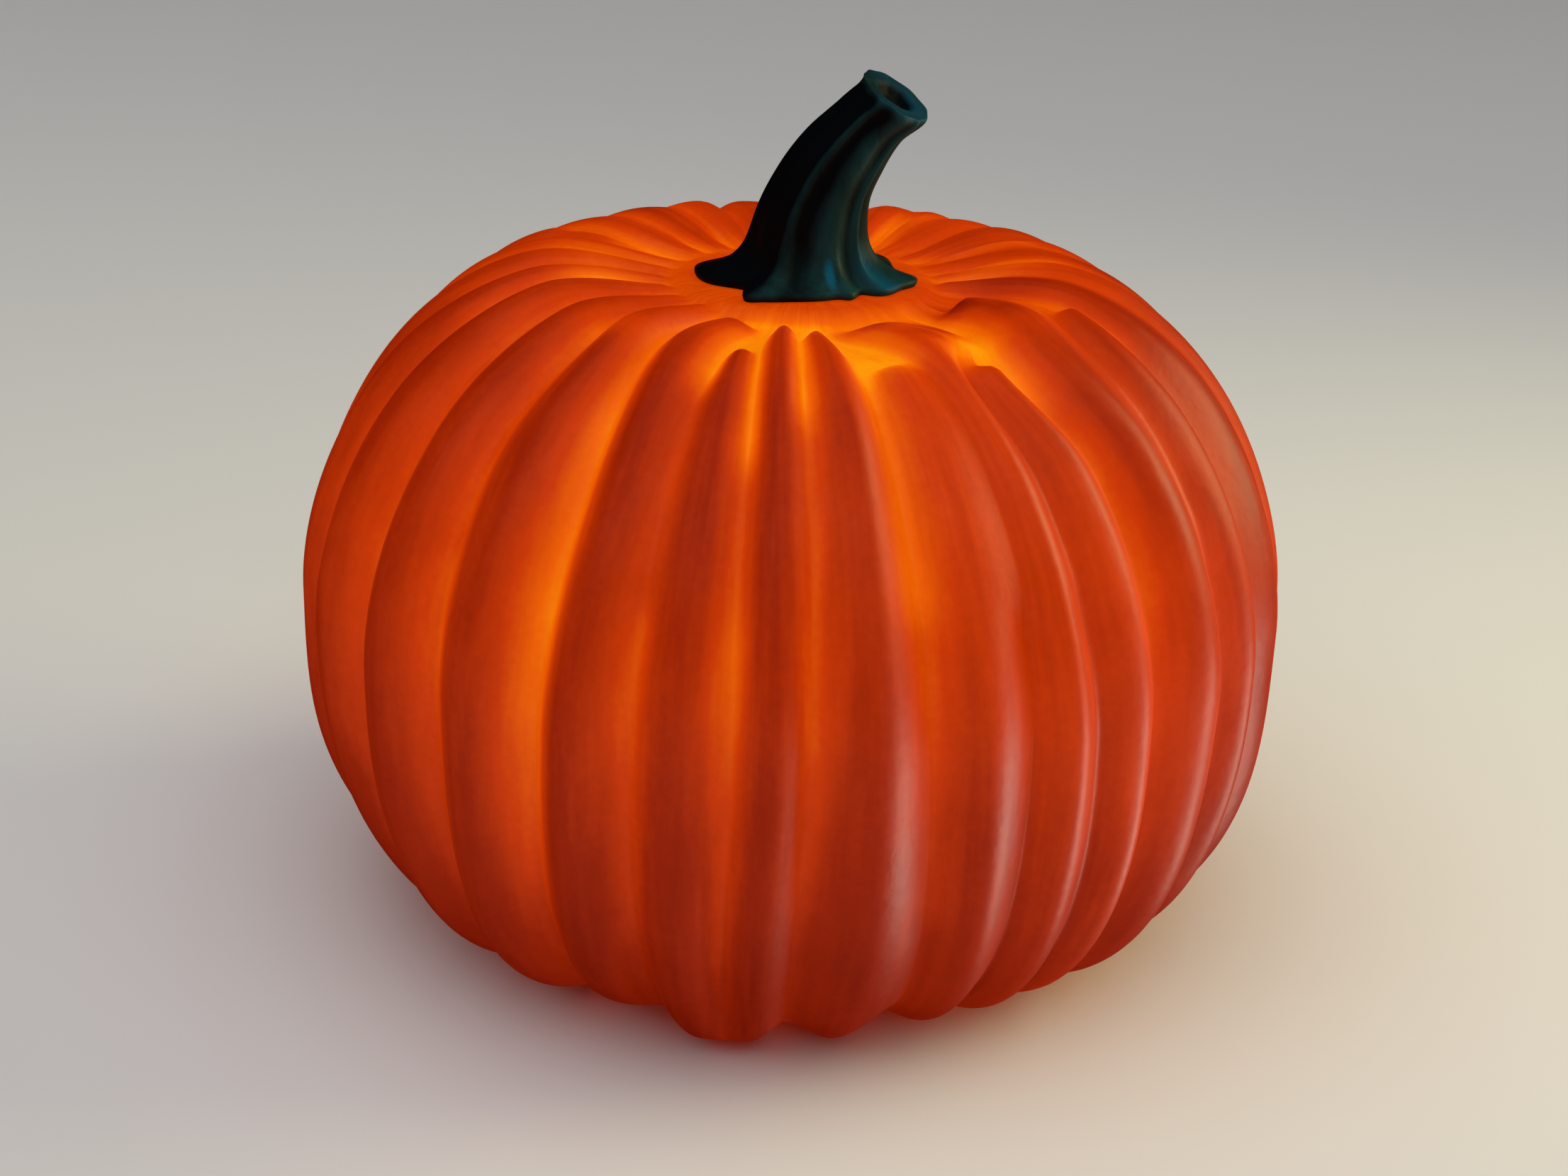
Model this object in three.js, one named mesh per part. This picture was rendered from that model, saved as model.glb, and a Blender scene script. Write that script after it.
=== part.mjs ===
// Lit artificial pumpkin lantern: one moulded body with uneven ribs, and one painted stem on it.
//
// Millimetres, +Z up. The origin is the middle of the flat resting face under the body. The front
// faces -Y and the stem bends towards +X. An azimuth is in degrees from the front, positive towards
// +X. A latitude is in degrees, seen from the axis at belly height: 0 at the belly, positive above.
import * as THREE from 'three';

// ---- Envelope of the body: the surface that the rib crests touch ----
const BODY_RADIUS = 120.5; // at the belly
const BELLY_HEIGHT = 84.7;
const CROWN_RADIUS = 61; // highest ring of the crests
const CROWN_HEIGHT = 163.2;
const SEAT_RADIUS = 30; // flat middle that carries the stem
const SEAT_HEIGHT = 159.8;
const CONTACT_RADIUS = 54; // flat resting face
const SHOULDER_POWER = 1.77; // superellipse above the belly: under 2 falls off like a cone
const FOOT_POWER = 2.7; // superellipse below the belly: over 2 is fuller than a circle

// ---- Grooves between the ribs ----
const GROOVE_SHARPNESS = 1.3; // 1 is a sharp valley between round ribs, 2 is an even wave
const GROOVE_LATITUDES = [-57, -48, -40, -20, 0, 20, 31, 40, 48, 56, 60, 64, 67, 68.5];
const GROOVE_SHARES = [0, 0.32, 0.66, 0.95, 1, 0.97, 0.84, 0.7, 0.62, 0.6, 0.56, 0.42, 0.22, 0];
const BRIDGE = [13, 20]; // latitudes between which a bridged valley gets shallow
const POCKET_EDGE = 4; // degrees over which it gets deep again
const TOE_LENGTH = 6; // a rib's inner end rises to its full height over this length

// ---- Ribs ----
// Valleys are led through five latitudes: foot, belly, shoulder, rim of the crown and seat.
const STATIONS = [-40, 0, 30, 47, 62];
// One row a rib of the front half, from left to right. valley: azimuths of the valley on its left at
// the five stations; groove: depth of that valley at the belly; bridge: the share of that depth that
// it keeps on the shoulder; pocket: latitude where it gets deep again; tip: radius where the rib's
// inner end starts; low: how far its crest stays under the envelope.
const FRONT_RIBS = [
  { valley: [-84, -87, -88, -86, -92], groove: 6.2, tip: 29, low: 0 },
  { valley: [-70, -73.5, -75.5, -74, -80], groove: 6.8, tip: 29, low: 0 },
  { valley: [-54, -58.5, -58.5, -59, -66], groove: 7.2, tip: 29, low: 0.3 },
  { valley: [-43, -43.9, -45, -43.2, -50], groove: 7.8, tip: 29, low: 0 },
  { valley: [-29, -29, -28.2, -29.5, -33], groove: 8.6, tip: 36, low: -0.4 },
  { valley: [-16.5, -17, -16, -15, -12], groove: 6, bridge: 0.55, pocket: 43, tip: 61, low: 0.9 },
  { valley: [-6.8, -5.9, -6.4, -7.5, -9.5], groove: 5.6, bridge: 0.7, pocket: 33, tip: 38, low: 0.6 },
  { valley: [1, 2.8, 2, 0.5, -0.5], groove: 5.6, bridge: 0.7, pocket: 39, tip: 44, low: 0 },
  { valley: [17.3, 16.2, 13.8, 11.5, 7.5], groove: 7.4, pocket: 44, tip: 67, low: 0.8 },
  { valley: [27, 28, 26, 22, 9], groove: 6.2, bridge: 0.5, pocket: 49, tip: 36, low: 0.2 },
  { valley: [36, 36.3, 33, 30, 44], groove: 5.4, bridge: 0.8, pocket: 47, tip: 70, low: 0.8 },
  { valley: [43.8, 46.2, 44.8, 38.7, 50], groove: 8.6, tip: 36, low: -0.2 },
  { valley: [57, 59.5, 58.5, 61, 81], groove: 6.2, bridge: 0.8, pocket: 50, tip: 62, low: 0.6 },
  { valley: [66, 67.5, 70.5, 72, 84], groove: 6.2, tip: 29, low: 0.2 },
];
const PLAIN_VALLEY = { bridge: 1, pocket: 40 }; // a valley that isn't bridged
const BACK_START = [80, 83, 87, 88, 97]; // first valley past the front ribs
const BACK_COUNT = 16;
const BACK_WIDTH_SPREAD = 0.22; // share by which their widths differ
const BACK_WANDER = 0.09; // share by which a width changes from one station to the next
const BACK_GROOVES = [3.6, 6.6]; // shallowest and deepest valley at the belly
const BACK_BRIDGES = [0.3, 0.55]; // share of that depth kept on the shoulder
const BACK_CLEFT = 10; // the one valley of the back that stays deep over the crown
const BACK_POCKETS = [52, 66]; // latitudes where they get deep again
const BACK_LOW = 0.8; // most that a crest stays under the envelope
const BACK_SHORT_EVERY = 0.4; // share of ribs that stop short of the seat
const BACK_TIPS = { long: 29, short: 64 };
const SHORT_RIB_SHARES = [1, 1, 0.92, 0.62, 0.3]; // their width at the five stations

// ---- Places where the low front swells out or falls back: azimuth, latitude and their spreads ----
const SWELLINGS = [
  { azimuth: -8, spread: 8, latitude: -46, rise: 9, reach: 10 },
  { azimuth: 8, spread: 4, latitude: -46, rise: 8, reach: 5 },
  { azimuth: -6.8, spread: 2.5, latitude: -47, rise: 8, reach: 3 },
  { azimuth: -24, spread: 6, latitude: -44, rise: 9, reach: -5 },
  { azimuth: -68, spread: 16, latitude: -33, rise: 14, reach: -4 },
];

// ---- Mesh density of the body ----
const RIB_SAMPLES = [-1, -0.68, -0.36, 0, 0.36, 0.68]; // valley, flank, crest, flank
const CROWN_RINGS = 7;
const SHOULDER_RINGS = 11;
const FOOT_RINGS = 10;
const FOOT_CROWDING = 1.25; // over 1 draws the foot's rings up towards the belly

// ---- Stem ----
const STEM_GAP = 0.3; // clearance to its seat
const STEM_LIP = 1.5; // thickness of the foot's edge
const STEM_FLARE = { groove: 2.3, ridge: 4.1 }; // height over which the flare falls to a third
// Sections above the flare: centre x and z over the seat, lean towards +X and nod towards the front
// in degrees, radius between the ridges, and the share of their height that the ridges have there.
const STEM_SECTIONS = [
  { x: 0.6, z: 0, lean: 0, nod: 0, radius: 12.2, relief: 1.2 },
  { x: 1.3, z: 14.3, lean: 2, nod: 0, radius: 12, relief: 1.1 },
  { x: 4.2, z: 23.6, lean: 17, nod: 0, radius: 10.4, relief: 1 },
  { x: 8.7, z: 31.4, lean: 28, nod: 2, radius: 9.1, relief: 1 },
  { x: 14.6, z: 38.8, lean: 33, nod: 6, radius: 7.7, relief: 0.9 },
  { x: 20.1, z: 44.6, lean: 32, nod: 10, radius: 8.6, relief: 0.4 },
];
// Ridges round the stem: azimuth and spread in degrees, height in mm.
const STEM_RIDGES = [
  { azimuth: -152, spread: 15, height: 1.5 },
  { azimuth: -118, spread: 12, height: 1.3 },
  { azimuth: -86, spread: 14, height: 1.2 },
  { azimuth: -54, spread: 11, height: 0.7 },
  { azimuth: -21, spread: 8, height: 1.4 },
  { azimuth: 22, spread: 19, height: 1.3 },
  { azimuth: 51, spread: 6, height: 1.6 },
  { azimuth: 80, spread: 18, height: 1.2 },
  { azimuth: 116, spread: 14, height: 1.6 },
  { azimuth: 160, spread: 16, height: 1.4 },
];
// Outline of the foot: its root lobes and the notches between them.
const FOOT_AZIMUTHS = [
  -180, -146, -120, -95, -72, -46, -31, -22, -7, 11, 23, 30, 44, 50, 57, 69, 83, 103, 135, 160, 180,
];
const FOOT_RADII = [
  23, 24, 22, 26.4, 25.4, 19.9, 27, 24.9, 22.2, 20.8, 20.2, 21.7, 19.3, 22.6, 24, 24.5, 26.8, 22, 25, 22.6, 23,
];
const STEM_SIDES = 60;
const STEM_HEIGHTS = [1.5, 2.8, 4.6, 6.6, 9.4, 12.8, 16.6, 20.6, 24.6, 28.6, 32.6, 36.6, 40, 42.4];
const CUT_DISH = [{ share: 0.66, depth: 0 }, { share: 0.46, depth: 1.2 }, { share: 0.26, depth: 2.2 }];

// ---- Finishes ----
const BODY_FINISH = { color: 0xc83a08, emissive: 0x6a1600, roughness: 0.46, metalness: 0 };
const STEM_FINISH = { color: 0x1d2c2e, roughness: 0.5, metalness: 0 };

const radians = THREE.MathUtils.degToRad;
const { lerp, smoothstep } = THREE.MathUtils;

// A number between 0 and 1 that is always the same for the same seed.
function draw(seed) {
  const wave = Math.sin(seed * 12.9898) * 43758.5453;
  return wave - Math.floor(wave);
}

// Smooth curve through the points (at[i], values[i]), level beyond its ends.
function curveThrough(at, values, x) {
  const last = at.length - 1;
  if (x <= at[0]) return values[0];
  if (x >= at[last]) return values[last];
  const i = at.findIndex((edge) => x < edge) - 1;
  const slope = (k) => (k <= 0 || k >= last ? 0 : (values[k + 1] - values[k - 1]) / (at[k + 1] - at[k - 1]));
  const span = at[i + 1] - at[i];
  const t = (x - at[i]) / span;
  const rise = t * t * (3 - 2 * t);
  return (
    lerp(values[i], values[i + 1], rise) +
    span * t * (1 - t) * ((1 - t) * slope(i) - t * slope(i + 1))
  );
}

// Closed mesh from rings of points, listed from the top down and anticlockwise seen from above,
// with a single point at either end.
function closedMesh(top, rings, bottom) {
  const points = [top, ...rings.flat(), bottom];
  const around = rings[0].length;
  const faces = [];
  for (let j = 0; j < around; j += 1) {
    const next = (j + 1) % around;
    faces.push(0, 1 + j, 1 + next);
    for (let k = 0; k < rings.length - 1; k += 1) {
      const upper = 1 + k * around;
      const lower = upper + around;
      faces.push(upper + j, lower + j, lower + next);
      faces.push(upper + j, lower + next, upper + next);
    }
    const lowest = 1 + (rings.length - 1) * around;
    faces.push(lowest + j, points.length - 1, lowest + next);
  }
  const geometry = new THREE.BufferGeometry();
  geometry.setAttribute('position', new THREE.Float32BufferAttribute(points.flatMap((p) => p.toArray()), 3));
  geometry.setIndex(faces);
  geometry.computeVertexNormals();
  return geometry;
}

// ---- Body ----

// Radius and height of the envelope at every ring, from the seat's edge down to the resting face.
function envelopeRings() {
  const rings = [];
  for (let k = 0; k < CROWN_RINGS; k += 1) {
    const share = k / CROWN_RINGS;
    const radius = lerp(SEAT_RADIUS, CROWN_RADIUS, share);
    rings.push({ radius, height: lerp(SEAT_HEIGHT, CROWN_HEIGHT, smoothstep(share, 0, 1)) });
  }
  for (let k = 0; k < SHOULDER_RINGS; k += 1) {
    const angle = radians(90 * (1 - k / SHOULDER_RINGS));
    const out = Math.max(Math.cos(angle), 0) ** (2 / SHOULDER_POWER);
    const up = Math.sin(angle) ** (2 / SHOULDER_POWER);
    rings.push({
      radius: lerp(CROWN_RADIUS, BODY_RADIUS, out),
      height: lerp(BELLY_HEIGHT, CROWN_HEIGHT, up),
    });
  }
  for (let k = 0; k <= FOOT_RINGS; k += 1) {
    const angle = radians(90 * (k / FOOT_RINGS) ** FOOT_CROWDING);
    const out = Math.max(Math.cos(angle), 0) ** (2 / FOOT_POWER);
    const down = Math.sin(angle) ** (2 / FOOT_POWER);
    rings.push({
      radius: lerp(CONTACT_RADIUS, BODY_RADIUS, out),
      height: BELLY_HEIGHT * (1 - down),
    });
  }
  return rings.map((ring, k) => {
    const before = rings[Math.max(k - 1, 0)];
    const after = rings[Math.min(k + 1, rings.length - 1)];
    const run = new THREE.Vector2(after.radius - before.radius, after.height - before.height).normalize();
    const latitude = THREE.MathUtils.radToDeg(Math.atan2(ring.height - BELLY_HEIGHT, ring.radius));
    return { ...ring, latitude, outX: -run.y, outZ: run.x };
  });
}

// Ribs of the back: drawn widths fill the room that the front leaves, at each station anew.
function backRibs() {
  const ribs = [];
  for (let k = 0; k < BACK_COUNT; k += 1) {
    const short = draw(k + 131) < BACK_SHORT_EVERY;
    ribs.push({
      valley: [],
      width: 1 + BACK_WIDTH_SPREAD * (2 * draw(k + 130) - 1),
      shares: short ? SHORT_RIB_SHARES : STATIONS.map(() => 1),
      groove: lerp(...BACK_GROOVES, draw(k + 70)),
      bridge: k === BACK_CLEFT ? 1 : lerp(...BACK_BRIDGES, draw(k + 190)),
      pocket: lerp(...BACK_POCKETS, draw(k + 220)),
      tip: short ? BACK_TIPS.short : BACK_TIPS.long,
      low: BACK_LOW * draw(k + 100),
    });
  }
  STATIONS.forEach((_, station) => {
    const wander = (k) => 1 + BACK_WANDER * (2 * draw(31 * station + k) - 1);
    const widths = ribs.map((rib, k) => rib.width * rib.shares[station] * wander(k));
    const total = widths.reduce((sum, width) => sum + width, 0);
    const room = 360 + FRONT_RIBS[0].valley[station] - BACK_START[station];
    let azimuth = BACK_START[station];
    ribs.forEach((rib, k) => {
      rib.valley.push(azimuth);
      azimuth += (room * widths[k]) / total;
    });
  });
  return ribs;
}

// Depth of the valley on a rib's left. A bridged one is shallower between the shoulder and its pocket.
function valleyDepth(rib, latitude) {
  const onShoulder = smoothstep(latitude, ...BRIDGE);
  const inPocket = smoothstep(latitude, rib.pocket - POCKET_EDGE, rib.pocket + POCKET_EDGE);
  return rib.groove * lerp(1, rib.bridge, onShoulder - inPocket);
}

// How far the body swells out at a place, as a sum of soft bumps.
function swelling(azimuth, latitude) {
  return SWELLINGS.reduce((sum, bump) => {
    const aside = (azimuth - bump.azimuth) / bump.spread;
    const above = (latitude - bump.latitude) / bump.rise;
    return sum + bump.reach * Math.exp(-aside * aside - above * above);
  }, 0);
}

// One ring of the body. Each rib is round from valley to crest to valley: its depth under the
// envelope goes from the groove's depth to the crest's by a power of a cosine. Inside a rib's tip
// the ring is level instead, from the depth of one valley to that of the next.
function ribbedRing(ring, ribs) {
  const share = curveThrough(GROOVE_LATITUDES, GROOVE_SHARES, ring.latitude);
  const valleys = ribs.map((rib) => curveThrough(STATIONS, rib.valley, ring.latitude));
  return ribs.flatMap((rib, i) => {
    const left = share * valleyDepth(rib, ring.latitude);
    const right = share * valleyDepth(ribs[(i + 1) % ribs.length], ring.latitude);
    const end = i + 1 < ribs.length ? valleys[i + 1] : valleys[0] + 360;
    const raised = smoothstep(ring.radius, rib.tip, rib.tip + TOE_LENGTH);
    return RIB_SAMPLES.map((across) => {
      const bow = 1 - Math.max(Math.cos((across * Math.PI) / 2), 0) ** GROOVE_SHARPNESS;
      const level = lerp(left, right, smoothstep(across, -1, 1));
      const rounded = lerp(share * rib.low, across < 0 ? left : right, bow);
      const depth = lerp(level, rounded, raised);
      const azimuth = lerp(valleys[i], end, (across + 1) / 2);
      const radius = ring.radius - depth * ring.outX + swelling(azimuth, ring.latitude);
      const height = ring.height - depth * ring.outZ;
      return new THREE.Vector3(
        radius * Math.sin(radians(azimuth)),
        -radius * Math.cos(radians(azimuth)),
        height,
      );
    });
  });
}

function body() {
  const ribs = [...FRONT_RIBS.map((rib) => ({ ...PLAIN_VALLEY, ...rib })), ...backRibs()];
  const rings = envelopeRings().map((ring) => ribbedRing(ring, ribs));
  const seatMiddle = new THREE.Vector3(0, 0, SEAT_HEIGHT);
  const restMiddle = new THREE.Vector3(0, 0, 0);
  const mesh = new THREE.Mesh(
    closedMesh(seatMiddle, rings, restMiddle),
    new THREE.MeshStandardMaterial(BODY_FINISH),
  );
  mesh.name = 'body';
  return mesh;
}

// ---- Stem ----

// Height of the ridges at an azimuth round the stem: a sum of soft bumps.
function stemRelief(azimuth) {
  return STEM_RIDGES.reduce((sum, ridge) => {
    const aside = (THREE.MathUtils.euclideanModulo(azimuth - ridge.azimuth + 180, 360) - 180) / ridge.spread;
    return sum + ridge.height * Math.exp(-aside * aside);
  }, 0);
}

// One section of the stem at a height along its middle line. shrink scales it, and sunk lowers it
// along the stem, for the hollow in the cut. The flare reaches higher on a ridge than beside it, so
// each ridge runs out into a root of the foot.
function stemSection(z, shrink = 1, sunk = 0) {
  const heights = STEM_SECTIONS.map((section) => section.z);
  const at = (key) => curveThrough(heights, STEM_SECTIONS.map((section) => section[key]), z);
  const lean = radians(at('lean'));
  const nod = radians(at('nod'));
  const azimuths = Array.from({ length: STEM_SIDES }, (_, j) => (360 * j) / STEM_SIDES - 180);
  const reliefs = azimuths.map(stemRelief);
  const highest = Math.max(...reliefs);
  return azimuths.map((azimuth, j) => {
    const flareHeight = lerp(STEM_FLARE.groove, STEM_FLARE.ridge, reliefs[j] / highest);
    const flare = Math.exp(-Math.max(z - STEM_LIP, 0) / flareHeight);
    const outline = curveThrough(FOOT_AZIMUTHS, FOOT_RADII, azimuth);
    const radius = shrink * lerp(at('radius') + at('relief') * reliefs[j], outline, flare);
    const right = radius * Math.sin(radians(azimuth));
    const front = radius * Math.cos(radians(azimuth));
    const up = -front * Math.sin(nod) - sunk;
    return new THREE.Vector3(
      at('x') + right * Math.cos(lean) + up * Math.sin(lean),
      -front * Math.cos(nod),
      z - right * Math.sin(lean) + up * Math.cos(lean),
    );
  });
}

function middleOf(section) {
  const sum = section.reduce((total, point) => total.add(point), new THREE.Vector3());
  return sum.divideScalar(section.length);
}

function stem() {
  const top = STEM_SECTIONS.at(-1).z;
  const shaft = [...STEM_HEIGHTS, top].map((z) => stemSection(z)).reverse();
  const dish = CUT_DISH.map((ring) => stemSection(top, ring.share, ring.depth)).reverse();
  const sole = stemSection(0);
  const mesh = new THREE.Mesh(
    closedMesh(middleOf(dish[0]), [...dish, ...shaft, sole], middleOf(sole)),
    new THREE.MeshStandardMaterial(STEM_FINISH),
  );
  mesh.position.z = SEAT_HEIGHT + STEM_GAP;
  mesh.name = 'stem';
  return mesh;
}

const group = new THREE.Group();
group.add(body(), stem());

export default group;
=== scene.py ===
# %% [markdown]
# # A lit artificial pumpkin lantern
#
# The real object is two mouldings: a squat, ribbed shell of translucent orange plastic with a lamp
# inside, and a painted stem that stands on it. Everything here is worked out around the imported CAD
# model, which is loaded first as a fixed frame. All lengths are in metres, +Z is up, the front of
# the lantern faces -Y and the stem bends towards +X.

# %% Load the frame
import math

import bpy
import numpy as np
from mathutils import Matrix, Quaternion, Vector


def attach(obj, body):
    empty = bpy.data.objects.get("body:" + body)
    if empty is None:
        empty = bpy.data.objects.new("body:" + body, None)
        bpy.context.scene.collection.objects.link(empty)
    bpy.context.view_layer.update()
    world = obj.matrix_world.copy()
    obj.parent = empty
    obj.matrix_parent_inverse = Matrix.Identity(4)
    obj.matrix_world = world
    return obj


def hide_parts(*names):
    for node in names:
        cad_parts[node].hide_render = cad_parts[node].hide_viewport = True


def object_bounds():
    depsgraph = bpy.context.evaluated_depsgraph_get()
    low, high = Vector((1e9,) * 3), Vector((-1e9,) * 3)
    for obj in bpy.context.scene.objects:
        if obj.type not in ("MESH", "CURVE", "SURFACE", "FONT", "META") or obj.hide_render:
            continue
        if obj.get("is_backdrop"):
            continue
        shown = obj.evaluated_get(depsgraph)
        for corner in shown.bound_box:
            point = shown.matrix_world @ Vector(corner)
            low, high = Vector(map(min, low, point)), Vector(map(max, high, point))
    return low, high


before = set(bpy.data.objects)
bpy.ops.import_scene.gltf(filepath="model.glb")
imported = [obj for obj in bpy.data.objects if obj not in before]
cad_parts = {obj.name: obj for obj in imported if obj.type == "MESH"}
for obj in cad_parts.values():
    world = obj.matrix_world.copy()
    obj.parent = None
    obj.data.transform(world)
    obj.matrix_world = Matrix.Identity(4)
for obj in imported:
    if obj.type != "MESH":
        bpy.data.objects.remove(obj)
cad_low, cad_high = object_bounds()
MM = 0.001
print("CAD box in mm:", [round((b - a) / MM, 1) for a, b in zip(cad_low, cad_high)])

# %% [markdown]
# ## The camera
#
# A lantern on a table is mostly seen from a little above. The camera goes on a sphere round the
# middle of the belly, so its place is one elevation and one distance. It then looks at a point on
# the axis and rolls a little, as a hand-held camera does. A few such angles are easy to correct,
# where typed-in rotations are not.

# %% Camera
BELLY_HEIGHT = 84.7 * MM
CAMERA_ELEVATION = 21.64
CAMERA_DISTANCE = 700.2 * MM
CAMERA_ROLL = 2.05
AIM = Vector((-1.9 * MM, 0, 79.8 * MM))
FIELD_OF_VIEW = 31.18

elevation = math.radians(CAMERA_ELEVATION)
back = Vector((0, -math.cos(elevation), math.sin(elevation)))
camera_data = bpy.data.cameras.new("camera")
camera_data.angle = math.radians(FIELD_OF_VIEW)
camera = bpy.data.objects.new("camera", camera_data)
bpy.context.collection.objects.link(camera)
camera.location = Vector((0, 0, BELLY_HEIGHT)) + CAMERA_DISTANCE * back
camera.rotation_mode = "QUATERNION"
upright = (AIM - camera.location).to_track_quat("-Z", "Y")
camera.rotation_quaternion = upright @ Quaternion((0, 0, 1), math.radians(CAMERA_ROLL))
bpy.context.scene.camera = camera
print("camera at", [round(c, 3) for c in camera.location])

# %% [markdown]
# ## Small tools for numbers
#
# Every shape below is a formula on whole arrays. Four things are needed again and again: a soft
# step from 0 to 1, a smooth curve through a few chosen points, soft spots on the round surface,
# and numbers that look random but are the same in each run. Writing them once keeps the shapes'
# own formulas short.

# %% Number tools
SINE_SPEED, SINE_SIZE = 12.9898, 43758.5453


def soft_step(x, start, end):
    """0 before start, 1 after end, and 3t^2 - 2t^3 between them, with t the share of the way."""
    t = np.clip((x - start) / (end - start), 0, 1)
    return t * t * (3 - 2 * t)


def mix(a, b, share):
    """The value that is a at share 0, b at share 1 and on the line between them otherwise."""
    return a + (b - a) * share


def curve_through(at, values, x):
    """Smooth curve through the points (at[i], values[i]), level beyond its ends. Between two points
    it is a cubic, and its slope at a point is that of the line from the one before to the one after."""
    at, values = np.asarray(at, float), np.asarray(values, float)
    beside = (1,) * (values.ndim - 1)
    slope = np.zeros_like(values)
    slope[1:-1] = (values[2:] - values[:-2]) / (at[2:] - at[:-2]).reshape(-1, *beside)
    x = np.clip(x, at[0], at[-1])
    i = np.clip(np.searchsorted(at, x, side="right") - 1, 0, len(at) - 2)
    span = (at[i + 1] - at[i]).reshape(*x.shape, *beside)
    t = (x - at[i]).reshape(*x.shape, *beside) / span
    bent = span * t * (1 - t) * ((1 - t) * slope[i] - t * slope[i + 1])
    return mix(values[i], values[i + 1], t * t * (3 - 2 * t)) + bent


def spots(azimuth, latitude, table):
    """Sum of soft oval spots, each amount * e^(-(azimuth offset / spread)^2 - (latitude offset /
    rise)^2), for rows of azimuth, spread, latitude, rise and amount."""
    return sum(
        amount * np.exp(-(((azimuth - middle) / spread) ** 2) - ((latitude - height) / rise) ** 2)
        for middle, spread, height, rise, amount in table
    )


def draw(seed):
    """A number between 0 and 1 for each seed: the fraction left of a large, fast sine."""
    wave = np.sin(np.asarray(seed, float) * SINE_SPEED) * SINE_SIZE
    return wave - np.floor(wave)


print("soft step at its middle:", soft_step(0.5, 0, 1))

# %% [markdown]
# ## The envelope of the body
#
# Lay a tight bag over a pumpkin and it touches only the tops of the ribs. That smooth bag, the
# envelope, is turned round the axis: a flat seat for the stem, a low crown, a shoulder and a foot
# that are quarters of superellipses, and a flat resting face. A superellipse is an ellipse with
# another power than 2, and one power each is enough to tell a sloping shoulder from a full foot.
# Each row also keeps its latitude, seen from the axis at belly height, and which way is outwards.

# %% Envelope
BODY_RADIUS = 120.5 * MM
CROWN_RADIUS = 61 * MM
CROWN_HEIGHT = 163.2 * MM
SEAT_RADIUS = 30 * MM
SEAT_HEIGHT = 159.8 * MM
CONTACT_RADIUS = 54 * MM
SHOULDER_POWER = 1.77
FOOT_POWER = 2.7
SEAT_ROWS, CROWN_ROWS, SHOULDER_ROWS, FOOT_ROWS, BASE_ROWS = 5, 24, 52, 50, 5
SEAT_INNER, BASE_INNER = 0.3, 0.2  # shares of the radius where the rows round a pole end


def envelope():
    """Radius, height, latitude and outward direction of each row, from the seat to the base.
    Shoulder: radius = crown + (body - crown) cos^(2/p), height = belly + (crown - belly) sin^(2/p).
    Foot: radius = contact + (body - contact) cos^(2/p), height = belly (1 - sin^(2/p))."""
    seat = np.linspace(SEAT_INNER, 1, SEAT_ROWS, endpoint=False)
    crown = np.linspace(0, 1, CROWN_ROWS, endpoint=False)
    shoulder = np.linspace(np.pi / 2, 0, SHOULDER_ROWS, endpoint=False)
    foot = np.linspace(0, np.pi / 2, FOOT_ROWS)
    base = np.linspace(1, BASE_INNER, BASE_ROWS + 1)[1:]
    out = np.cos(np.append(shoulder, foot)).clip(0)
    up = np.sin(np.append(shoulder, foot))
    above = np.arange(len(out)) < len(shoulder)
    power = 2 / np.where(above, SHOULDER_POWER, FOOT_POWER)
    inner = np.where(above, CROWN_RADIUS, CONTACT_RADIUS)
    reach = np.where(above, CROWN_HEIGHT, 0) - BELLY_HEIGHT
    radius = np.concatenate([
        SEAT_RADIUS * seat,
        mix(SEAT_RADIUS, CROWN_RADIUS, crown),
        mix(inner, BODY_RADIUS, out**power),
        CONTACT_RADIUS * base,
    ])
    height = np.concatenate([
        np.full(SEAT_ROWS, SEAT_HEIGHT),
        mix(SEAT_HEIGHT, CROWN_HEIGHT, soft_step(crown, 0, 1)),
        BELLY_HEIGHT + reach * up**power,
        np.zeros(BASE_ROWS),
    ])
    along = np.stack([np.gradient(radius), np.gradient(height)])
    along /= np.linalg.norm(along, axis=0)
    latitude = np.degrees(np.arctan2(height - BELLY_HEIGHT, radius))
    return radius, height, latitude, -along[1], along[0]


row_radius, row_height, row_latitude, row_out, row_up = envelope()
print("rows:", len(row_radius), "widest:", round(row_radius.max() / MM, 1), "mm")

# %% [markdown]
# ## Where the ribs run
#
# The ribs of this pumpkin are uneven: wide and narrow ones alternate without a rule, some reach
# the seat and some stop short of it, and their valleys wander. So the valleys of the front are
# chosen one by one: each has its azimuth at five latitudes, and a smooth curve leads it through
# them. The back is filled by a rule with drawn widths, which gives the same kind of unevenness
# without another list; one of its valleys stays deep over the crown and makes a cleft in the
# skyline. Each valley also has its depth and how brightly the lamp shows through it.

# %% Ribs
STATIONS = [-40, 0, 30, 47, 62]  # foot, belly, shoulder, rim of the crown, seat
TOE_LENGTH = 6 * MM
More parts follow.
